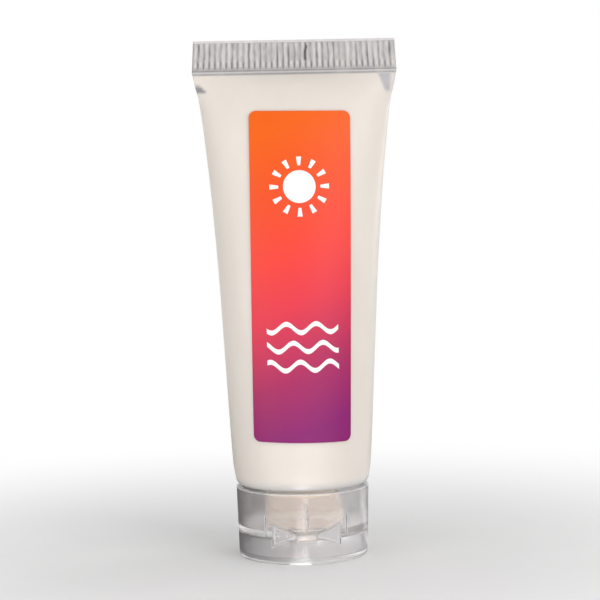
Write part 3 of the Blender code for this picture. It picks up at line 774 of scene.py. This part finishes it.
# %% [markdown]
# ## The butterfly hinge
# A thin film in the middle folds, and two stiffer wings beside it snap over its centre, which throws the lid
# open and holds it. Here they are three plates in the windows of the cap's wall.

# %% Make the film and the wings
PLATE_RADIUS = HINGE_RADIUS - 0.0002
FILM_THICKNESS = 0.0003
WING_THICKNESS = 0.0006
WING_PANEL = (0.00022, 0.00018, 0.00016)
film = wrapped_plate("film", film_outline, PLATE_RADIUS, FILM_THICKNESS)
wing_right = wrapped_plate("wing_right", wing_outline, PLATE_RADIUS, WING_THICKNESS, WING_PANEL)
wing_left = wrapped_plate("wing_left", mirrored(wing_outline), PLATE_RADIUS, WING_THICKNESS, WING_PANEL)
print("Hinge:", [len(piece.data.polygons) for piece in (film, wing_right, wing_left)], "faces")

# %% [markdown]
# ## The labels
# A label is a flat film with rounded corners. It starts as a plane of its real size, whose corners are
# bevelled and which is cut into strips both ways. Each vertex is then laid on the sleeve at its own distance
# round the girth, and Solidify gives the film its thickness.

# %% Make the labels
ARC_STEPS = 24


def face_point(arc, height, lift):
    """A point above the sleeve's front, so far along the girth from the middle of that face."""
    half_width, half_hollow = section(height)
    half_depth = half_hollow + SLEEVE_WALL
    turn = 0
    for _ in range(ARC_STEPS):
        turn += arc / ARC_STEPS / math.hypot(half_width * math.cos(turn), half_depth * math.sin(turn))
    normal = Vector((math.sin(turn) / half_width, -math.cos(turn) / half_depth, 0)).normalized()
    return Vector((half_width * math.sin(turn), -half_depth * math.cos(turn), height)) + normal * lift


def make_label(name, node, facing):
    """A rounded sheet on the front (facing 1) or on the back (facing -1)."""
    low, high = (corner.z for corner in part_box(node))
    half_width, half_height, tilt = LABEL_WIDTH / 2, (high - low) / 2, LABEL_TILT * facing
    made = add_primitive(bpy.ops.mesh.primitive_plane_add, name, size=1)
    made.scale = (LABEL_WIDTH, high - low, 1)
    bpy.ops.object.transform_apply()
    bpy.ops.object.mode_set(mode="EDIT")
    bpy.ops.mesh.select_all(action="SELECT")
    bpy.ops.mesh.bevel(affect="VERTICES", offset=LABEL_CORNER, segments=10, profile=0.5)
    cut_strips(-half_width, half_width, 32, (1, 0, 0))
    cut_strips(-half_height, half_height, 48, (0, 1, 0))
    bpy.ops.object.mode_set(mode="OBJECT")
    for vertex in made.data.vertices:
        x, y, _ = vertex.co
        place = face_point(x + y * tilt, (low + high) / 2 + y - x * tilt, LABEL_GAP + LABEL_FILM)
        vertex.co = (facing * place.x, facing * place.y, place.z)
    modify(made, "SOLIDIFY", thickness=LABEL_FILM, offset=-1)
    bpy.ops.object.shade_smooth_by_angle(angle=math.radians(40))
    print(name, "has", len(made.data.polygons), "faces")
    return made


front_label = make_label("label_front", "front_label", 1)
back_label = make_label("label_back", "back_label", -1)

# %% [markdown]
# ## Writing materials as expressions
# A material's node tree is easier to read as sums. `Amount` wraps one socket, and arithmetic on it adds Math
# nodes. `Finish` is one material: its `node` method adds any other node from its type, its settings and the
# values or links of its sockets, and `paint` feeds its main shader.

# %% The small node language
DEEP_INSIDE = 3.5


class Amount:
    """A number somewhere in a material. Sums with it become Math nodes."""

    def __init__(self, finish, socket):
        self.finish = finish
        self.socket = socket

    def __add__(self, other):
        return self.finish.math("ADD", self, other)

    def __sub__(self, other):
        return self.finish.math("SUBTRACT", self, other)

    def __rsub__(self, other):
        return self.finish.math("SUBTRACT", other, self)

    def __mul__(self, other):
        return self.finish.math("MULTIPLY", self, other)

    def __truediv__(self, other):
        return self.finish.math("DIVIDE", self, other)

    def __pow__(self, other):
        return self.finish.math("POWER", self, other)

    def __abs__(self):
        return self.finish.math("ABSOLUTE", self)

    __radd__ = __add__


class Finish:
    """One material. Its Principled shader takes the constants that it is made with."""

    def __init__(self, name, **constants):
        self.material = bpy.data.materials.new(name)
        self.material.use_nodes = True
        self.tree = self.material.node_tree
        self.shader = self.tree.nodes["Principled BSDF"]
        self.paint(**constants)
        self.locate("Object")

    def locate(self, source):
        """Keeps where a ray meets the surface, as a point and as three Amounts."""
        self.place = self.node("ShaderNodeTexCoord").outputs[source]
        split = self.node("ShaderNodeSeparateXYZ", {"Vector": self.place})
        self.x, self.y, self.z = (Amount(self, split.outputs[axis]) for axis in "XYZ")

    def paint(self, **values):
        """Feeds sockets of the main shader, whose names have _ in place of each space."""
        for socket, value in values.items():
            self.feed(self.shader, socket.replace("_", " "), value)

    def feed(self, node, socket, value):
        """Sets a socket to a value, or links it to an Amount or to another socket."""
        target = node.inputs[socket]
        if isinstance(value, Amount):
            value = value.socket
        if isinstance(value, bpy.types.NodeSocket):
            self.tree.links.new(value, target)
        else:
            target.default_value = value

    def node(self, kind, values=None, **settings):
        """Adds a node. The values go to its sockets, and the settings are its own."""
        made = self.tree.nodes.new(kind)
        for name, value in settings.items():
            setattr(made, name, value)
        for socket, value in (values or {}).items():
            self.feed(made, socket, value)
        return made

    def math(self, operation, *values):
        made = self.node("ShaderNodeMath", dict(enumerate(values)), operation=operation)
        return Amount(self, made.outputs[0])

    def limit(self, value):
        """The value, held between 0 and 1."""
        return self.math("MINIMUM", self.math("MAXIMUM", value, 0), 1)

    def step(self, value, low, high):
        """0 below low, 1 above high, and a smooth step between."""
        values = {"Value": value, "From Min": low, "From Max": high}
        made = self.node("ShaderNodeMapRange", values, interpolation_type="SMOOTHSTEP")
        return Amount(self, made.outputs["Result"])

    def cloud(self, scale, detail=3, roughness=0.55, upright=1):
        """Smooth noise from 0 to 1, about 0.5 on average. Upright under 1 makes it longer along Z."""
        place = self.place
        if upright != 1:
            place = self.node("ShaderNodeMapping", {"Vector": place, "Scale": (1, 1, upright)}).outputs[0]
        values = {"Vector": place, "Scale": scale, "Detail": detail, "Roughness": roughness}
        return Amount(self, self.node("ShaderNodeTexNoise", values).outputs["Fac"])

    def attribute(self, name):
        """A value kept on the piece's own vertices."""
        return Amount(self, self.node("ShaderNodeAttribute", attribute_name=name).outputs["Fac"])

    def ramp(self, share, *stops):
        """A colour from a row of stops. Each has its place and its colour."""
        made = self.node("ShaderNodeValToRGB", {"Fac": share})
        elements = made.color_ramp.elements
        while len(elements) < len(stops):
            elements.new(0.5)
        for element, stop in zip(elements, stops):
            element.position, element.color = stop
        return made.outputs["Color"]

    def rays(self):
        """What Light Path knows of a ray, and whether plastic sent it here or it comes from inside a wall."""
        known = {output.name: Amount(self, output) for output in self.node("ShaderNodeLightPath").outputs}
        known["plastic"] = self.limit(known["Is Glossy Ray"] + known["Is Transmission Ray"])
        deep = self.math("GREATER_THAN", known["Transmission Depth"], DEEP_INSIDE)
        known["inside"] = self.limit(known["Diffuse Depth"]) * deep
        return known

    def mix(self, share, first, second):
        """A colour between two others."""
        return self.node("ShaderNodeMix", {0: share, 6: first, 7: second}, data_type="RGBA").outputs[2]

    def bump(self, height, depth, strength):
        """Makes the surface rise and fall by up to depth, in metres."""
        made = self.node("ShaderNodeBump", {"Height": height, "Distance": depth, "Strength": strength})
        self.paint(Normal=made.outputs[0])

    def glow(self, color, strength):
        """A shader that gives off light."""
        return self.node("ShaderNodeEmission", {"Color": color, "Strength": strength}).outputs[0]

    def blend(self, share, first, second):
        """A shader between two others."""
        return self.node("ShaderNodeMixShader", {0: share, 1: first, 2: second}).outputs[0]


def shade(red, green, blue):
    """A colour as it reads on screen, from 0 to 255, as a linear colour for a socket."""
    shares = (red / 255, green / 255, blue / 255)
    return (*(c / 12.92 if c < 0.04 else ((c + 0.055) / 1.055) ** 2.4 for c in shares), 1)


CREAM = (shade(240, 232, 225), shade(246, 240, 234))
WHITE = (1, 1, 1, 1)
print("Off-white lotion in linear light:", [round(c, 3) for c in CREAM[0]])

# %% [markdown]
# ## Lotion
# Thick cream with a soft skin: off-white, slightly uneven where it was filled, and it lets a little light in.

# %% Lotion finish
cream = Finish(
    "lotion_cream", Roughness=0.6, Specular_IOR_Level=0.25, Subsurface_Weight=0.25,
    Subsurface_Radius=(1.0, 0.8, 0.6), Subsurface_Scale=0.001
)
cream.paint(Base_Color=cream.mix(cream.cloud(160, 4, 0.6, 0.35), *CREAM))
print("Lotion finish:", cream.material.name)

# %% [markdown]
# ## Clear sleeve
# A clear film that lotion wets can't be told from the lotion, and the two read as one off-white surface. So
# the film takes the lotion's colour there and is about 0.7 opaque. The curled lip at its foot is greyer and
# glossy. With air behind it the film is painted darker, a painted shade of the hollow behind it, most on the
# left, away from the key light. The welded crimp is a pale grey; the grooves between its ribs are painted
# dark as painted shade, a warm painted sheen lies here and there, and a plain strip runs on top.

# %% Sleeve finish
RELIEF_FULL = 0.00016
skin = Finish("sleeve_film", IOR=1.5, Coat_Roughness=0.08)
in_crimp = skin.step(skin.z, CRIMP_BOTTOM - 0.0008, CRIMP_BOTTOM - 0.0003)
top_strip = skin.step(skin.z, TUBE_TOP - 0.00050, TUBE_TOP - 0.00035)
curl = 1 - skin.step(skin.z, CURL_TOP - 0.0010, CURL_TOP + 0.0006)
smear = skin.cloud(90, 4, 0.6, 0.4)
wrinkled = skin.cloud(900, 3, 0.6, 0.3)
# Painted sheen: noise patches where the crimp is lightened towards a warm highlight.
painted_sheen = skin.step(skin.cloud(140, 2, 0.5, 0.4), 0.55, 0.72) * 0.6
raised = skin.attribute("relief") / RELIEF_FULL
air = skin.attribute("dry")
# Painted shade: the grooves between the crimp's ribs are darkened towards a dark grey.
groove = skin.limit(0.42 - raised * 0.45 + (wrinkled - 0.5) * 0.5)
crimp_shade_and_sheen = skin.mix(groove, shade(205, 201, 201), shade(86, 83, 85))
crimp_shade_and_sheen = skin.mix(painted_sheen, crimp_shade_and_sheen, shade(214, 210, 202))
wet = skin.mix(smear, shade(241, 233, 223), shade(246, 239, 231))
wet = skin.mix(curl, wet, shade(226, 223, 221))
# Painted shade: the film over the air pockets is darkened for the dim hollow behind it, more on the left.
dark = skin.mix(skin.step(skin.x, -0.01, 0.01), shade(150, 147, 148), shade(186, 183, 187))
plain = skin.mix(in_crimp, skin.mix(air, wet, dark), crimp_shade_and_sheen)
skin.paint(
    Base_Color=skin.mix(top_strip, plain, shade(206, 202, 202)),
    Alpha=skin.limit(0.68 + smear * 0.08 + in_crimp * (0.1 + wrinkled * 0.3) + air * 0.1),
    Roughness=0.30 + smear * 0.14,
    Coat_Weight=0.05 + smear * 0.15 + curl * 0.7,
)
skin.bump(skin.cloud(260) * 0.6 + wrinkled * in_crimp, 0.00003, 0.5)
print("Sleeve finish:", skin.material.name)

# %% [markdown]
# ## Milky head and frosted cap
# The head is natural polyethylene, milky and faintly warm, and in the lotion's colour inside the sleeve. The
# cap is clear polypropylene with a soft frost: light passes through its walls and blurs on the way. Three
# denser looks of it are for the hinge's wings, for the bevelled edges, where the denser look is a painted
# highlight along each edge, and for the spout and the socket, which the lotion and the neck fill.

# %% Moulded finishes
milky = Finish("milky_moulding", Specular_IOR_Level=0.3, Subsurface_Weight=0.25, Subsurface_Scale=0.001)
haze = milky.cloud(220)
neck_tone = milky.mix(haze, shade(244, 230, 215), shade(250, 240, 228))
in_sleeve = milky.step(milky.z, SHOULDER_BOTTOM - 0.0002, SHOULDER_BOTTOM + 0.0006)
milky.paint(Base_Color=milky.mix(in_sleeve, neck_tone, milky.mix(haze, *CREAM)), Roughness=0.45 + haze * 0.12)
milky.bump(haze, 0.00002, 0.4)


def plastic(name, passing, dark, light, roughness):
    """Clear polypropylene that lets so much light through. Flow marks vary its colour and its roughness."""
    made = Finish(name, IOR=1.42, Transmission_Weight=passing)
    flow = made.cloud(130, 4, 0.6, 0.5)
    made.paint(Base_Color=made.mix(flow, dark, light), Roughness=roughness + flow * 0.08)
    made.bump(flow, 0.00002, 0.25)
    return made


frosted = plastic("frosted_moulding", 0.92, shade(248, 246, 247), shade(255, 254, 254), 0.17)
hinged = plastic("moulding_hinge", 0.84, shade(244, 242, 243), shade(252, 251, 251), 0.24)
# Painted highlight: a denser, more diffuse copy of the frosted plastic, so that edges read as catching the
# light.
edge_highlight = plastic("moulding_painted_edge_highlight", 0.50, shade(238, 237, 237), shade(248, 247, 247), 0.30)
wetted = plastic("moulding_on_lotion", 0.40, shade(238, 224, 207), shade(246, 235, 221), 0.35)
print("Moulded:", [finish.material.name for finish in (milky, frosted, hinged, edge_highlight, wetted)])

# %% [markdown]
# ## Printed labels
# The front label is satin film printed with one long gradient, from orange at the top through coral to
# purple, which leans a little so that the right side is further along. A plain white sun over three waves is
# printed on it. The back label is bare off-white film.

# %% Label finishes
GRADIENT_LEAN = 6.5
SOFT = 0.00006
SUN_Z = 0.0700
SUN_RADIUS = 0.0030
RAYS = 12
RAY_SIDE = 0.0028
RAY_START = 0.0039
RAY_END = 0.0055
WAVES_Z = (0.0440, 0.0405, 0.0370)
WAVE_RISE = 0.0008
WAVE_PHASE = 400
WAVE_TURN = 1150
WAVE_HALF_LINE = 0.00045
WAVE_END = 0.0066
print_low, print_high = (corner.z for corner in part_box("front_label"))
satin = Finish("label_print", IOR=1.46, Specular_IOR_Level=0.3)
along = (satin.z - print_low) / (print_high - print_low) - satin.x * GRADIENT_LEAN
fibre = satin.cloud(600)
gradient = satin.ramp(
    along,
    (0.03, shade(134, 20, 106)),
    (0.20, shade(165, 34, 92)),
    (0.42, shade(222, 54, 72)),
    (0.58, shade(238, 66, 56)),
    (0.78, shade(236, 80, 32)),
    (0.98, shade(238, 98, 10)),
)


def beyond(value, edge, soft=SOFT):
    """0 below an edge of the print and 1 above it, a little soft."""
    return satin.step(value, edge - soft, edge + soft)


away = satin.math("SQRT", satin.x**2 + (satin.z - SUN_Z) ** 2)
angle = satin.math("ARCTAN2", satin.z - SUN_Z, satin.x)
ray_side = beyond(satin.math("COSINE", angle * RAYS) * away, RAY_SIDE, SOFT * 6)
white = 1 - beyond(away, SUN_RADIUS) + ray_side * beyond(away, RAY_START) * (1 - beyond(away, RAY_END))
wave_ends = 1 - beyond(abs(satin.x), WAVE_END)
for wave_z in WAVES_Z:
    swing = satin.math("SINE", satin.x * WAVE_TURN + wave_z * WAVE_PHASE) * WAVE_RISE
    white = white + (1 - beyond(abs(satin.z - wave_z - swing), WAVE_HALF_LINE)) * wave_ends
satin.paint(
    Base_Color=satin.mix(satin.limit(white), gradient, shade(250, 247, 245)),
    Roughness=0.34 + fibre * 0.12,
)
satin.bump(fibre, 0.00001, 0.4)

bare = Finish("label_bare", IOR=1.46, Specular_IOR_Level=0.4)
paper = bare.cloud(500)
bare.paint(
    Base_Color=bare.mix(paper, shade(240, 237, 234), shade(246, 244, 241)),
    Roughness=0.36 + paper * 0.12,
)
bare.bump(paper, 0.00001, 0.4)
print("Printed from", *mm(print_low), "to", *mm(print_high), "mm")

# %% [markdown]
# ## Putting the pieces on their bodies
# Each dressed piece takes the place of its solid. The pieces of the tube and the lid ride with the same body
# as their solids; the film and the wings cross the joint. A face of the cap gets its look by where it lies.

# %% Bodies, slots and finishes
PLAIN, EDGE_HIGHLIGHT, WETTED = range(3)
ON_TUBE = (
    (sleeve, "tube_sleeve", "sleeve_plastic", skin),
    (lotion, "lotion_fill", "lotion", cream),
    (head, "tube_head", "head_plastic", milky),
    (base, "cap_base", "cap_plastic", frosted),
    (front_label, "front_label", "label_print", satin),
    (back_label, "back_label", "back_label_print", bare),
)
ACROSS = (
    (film, "hinge_film", frosted, 0.0003),
    (wing_right, "hinge_panel_right", hinged, 0.0005),
    (wing_left, "hinge_panel_left", hinged, 0.0005),
)


def dress(piece, node, finish):
    piece.data.materials.append(finish.material)
    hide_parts(node)


def look_of(piece, face):
    """Which of a cap piece's materials a face gets."""
    x, y, z = face.center
    around = math.hypot(x, y)
    outwards = (face.normal.x * x + face.normal.y * y) / around if around else 0
    # Painted highlight: the sloped rims of the wings, the lid's lower corner and the base's top rim take the
    # denser edge look.
    if piece in (wing_left, wing_right):
        return EDGE_HIGHLIGHT if 0.3 < outwards < 0.95 else PLAIN
    if piece is lid and outwards > 0.1 and z < LID_CORNER * 0.7 or piece is base and z > BASE_TOP - EDGE:
        return EDGE_HIGHLIGHT
    in_socket = around < SOCKET_RADIUS + BEAD_RISE + 0.0001 and z > DECK_TOP + 0.0001
    return WETTED if piece is base and (around < SPOUT_RADIUS + 0.00015 or in_socket) else PLAIN


for piece, node, slot, finish in ON_TUBE:
    dress(piece, node, finish)
    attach(piece, "tube")
dress(lid, "cap_lid", frosted)
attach(lid, "lid")
for piece, node, finish, reach in ACROSS:
    dress(piece, node, finish)
    HINGE_HEIGHT + reach
    HINGE_HEIGHT - reach
    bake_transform(piece)
for piece in (base, lid, film, wing_left, wing_right):
    piece.data.materials.append(edge_highlight.material)
    piece.data.materials.append(wetted.material)
    for face in piece.data.polygons:
        face.material_index = look_of(piece, face)
    # The bevels take the painted edge highlight, except on the film, whose bevels keep their neighbours'
    # look.
    modify(piece, "BEVEL", width=EDGE_BEVEL, segments=2, limit_method="ANGLE", angle_limit=math.radians(55),
           use_clamp_overlap=False, material=-1 if piece is film else EDGE_HIGHLIGHT)
    bpy.ops.object.shade_smooth_by_angle(angle=math.radians(30))
print("Dressed:", len(ON_TUBE) + len(ACROSS) + 1, "pieces")

# %% [markdown]
# ## Studio
# A pale floor fades into a white surround, with soft lights all round and a long lens a little above the
# middle of the tube. Clear plastic on white would lose its edges, so for rays that the plastic reflects or
# lets through, the floor glows as a painted reflection: a grey card, darkest on the left and a little darker
# near the tube, with a pale strip behind on the right and two patches in front for painted glints. For these
# rays the surround is painted darker towards the left. Rays from deep inside the cap see an added glow, which
# stands in for light that the renderer doesn't pass through frosted walls.

# %% Floor and surround
floor = add_primitive(bpy.ops.mesh.primitive_plane_add, "floor", size=3)
floor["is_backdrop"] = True
ground = Finish("floor_paper", Roughness=0.9, Specular_IOR_Level=0.1)
ground.paint(Base_Color=ground.mix(ground.cloud(60), shade(246, 246, 246), shade(252, 252, 252)))
rays = ground.rays()
distance = ground.math("SQRT", ground.x**2 + ground.y**2)
facing = ground.math("ARCTAN2", ground.x, ground.y * -1)
# Painted reflection: a grey card tone that only rays from the plastic see, darkest on the left and darker
# near the tube.
tone = ground.mix(ground.step(ground.x, -0.011, 0.002), shade(66, 65, 66), shade(206, 204, 204))
tone = ground.mix(ground.step(ground.x, 0.003, 0.012), tone, shade(178, 177, 178))
near = 0.85 + ground.step(distance, 0.01, 0.08) * 0.15
# Painted reflections: a pale strip behind on the right, and two painted glints in front that only the
# plastic's outer faces reflect.
strip = ground.step(facing, 1.90, 2.00) * (1 - ground.step(facing, 2.22, 2.32))
main_patch = 1 - ground.step(abs(facing + 0.11), 0.10, 0.22)
side_patch = (1 - ground.step(abs(facing + 0.85), 0.15, 0.25)) * 0.3
off_outer_face = rays["Is Glossy Ray"] * (1 - ground.limit(rays["Transmission Depth"]))
painted_card_reflection = ground.glow(tone, near + strip * 2.0 + off_outer_face * (main_patch + side_patch) * 14)
paper_white = ground.glow(WHITE, 1.0)
faded = ground.step(distance, 0.02, 0.15) * rays["Is Camera Ray"]
plain_view = ground.blend(faded, ground.shader.outputs[0], paper_white)
clear_view = ground.blend(1 - ground.step(distance, 0.15, 0.30), paper_white, painted_card_reflection)
clear_view = ground.blend(rays["inside"], clear_view, ground.glow(WHITE, 2.2))
view = ground.blend(rays["plastic"], plain_view, clear_view)
ground.feed(ground.tree.nodes["Material Output"], "Surface", view)
floor.data.materials.append(ground.material)

scene = bpy.context.scene
scene.view_settings.view_transform = "Standard"


class Surround(Finish):
    """The world, written in the same node language. Its x is the direction that a ray leaves in."""

    def __init__(self, name):
        world = bpy.data.worlds.new(name)
        world.use_nodes = True
        scene.world = world
        self.tree = world.node_tree
        self.shader = self.tree.nodes["Background"]
        self.locate("Generated")


room = Surround("white_surround")
rays = room.rays()
# Painted reflection: for rays from the plastic the surround is darker towards the left.
painted_dark_reflection = 0.25 + room.step(room.x, -0.95, 0.2) * 0.75
lit = (1 - room.limit(rays["Is Camera Ray"] + rays["plastic"])) * 0.55
strength = lit + rays["Is Camera Ray"] + rays["plastic"] * (painted_dark_reflection + rays["inside"] * 1.6)
room.paint(Color=WHITE, Strength=strength)
print("Studio:", floor.name, "and", scene.world.name)

# %% Lights
LAMPS_LOOK_AT = Vector((0, 0, 0.05))
LAMPS = (
    ("key", 35, 18, 0.9, 0.6, 0.6, 2.66),
    ("fill", -50, 8, 0.9, 0.6, 0.6, 1.1),
    ("top", 0, 80, 0.8, 0.5, 0.5, 0.2),
    ("rim", 118, 5, 0.6, 0.12, 0.36, 0.6),
    ("foot", -25, -10, 0.22, 0.50, 0.045, 0.23),
)


def direction(azimuth, elevation):
    """Azimuth 0 is in front and 90 is on the right."""
    a, e = math.radians(azimuth), math.radians(elevation)
    return Vector((math.sin(a) * math.cos(e), -math.cos(a) * math.cos(e), math.sin(e)))


for name, azimuth, elevation, distance, width, height, watts in LAMPS:
    data = bpy.data.lights.new(name, "AREA")
    data.shape = "RECTANGLE"
    data.size, data.size_y, data.energy = width, height, watts
    lamp = bpy.data.objects.new(name, data)
    lamp.visible_camera = False
    scene.collection.objects.link(lamp)
    back = direction(azimuth, elevation)
    lamp.location = LAMPS_LOOK_AT + back * distance
    lamp.rotation_euler = back.to_track_quat("Z", "Y").to_euler()
print("Lamps:", [row[0] for row in LAMPS])

# %% Camera
CAMERA_DISTANCE = 0.450
CAMERA_HEIGHT = Vector((0, 0, 0.087))
CAMERA_AZIMUTH = -3.2
CAMERA_ROLL = math.radians(-1.12)
CAMERA_LENS = 143.8
AIM = Vector((0.0002, 0, 0.0483))
camera = bpy.data.objects.new("camera", bpy.data.cameras.new("camera"))
scene.collection.objects.link(camera)
scene.camera = camera
camera.data.lens = CAMERA_LENS
camera.data.clip_start, camera.data.clip_end = 0.01, 10
camera.location = direction(CAMERA_AZIMUTH, 0) * CAMERA_DISTANCE + CAMERA_HEIGHT
look = (AIM - camera.location).to_track_quat("-Z", "Y").to_matrix()
camera.rotation_euler = (look @ Matrix.Rotation(CAMERA_ROLL, 3, "Z")).to_euler()
print("Camera at, mm:", mm(*camera.location))

# %% Compare the sizes and finish
dressed_box = [list(corner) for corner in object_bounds()]
print("CAD box and dressed box, mm:", [mm(*corner) for corner in (*frame_box, *dressed_box)])
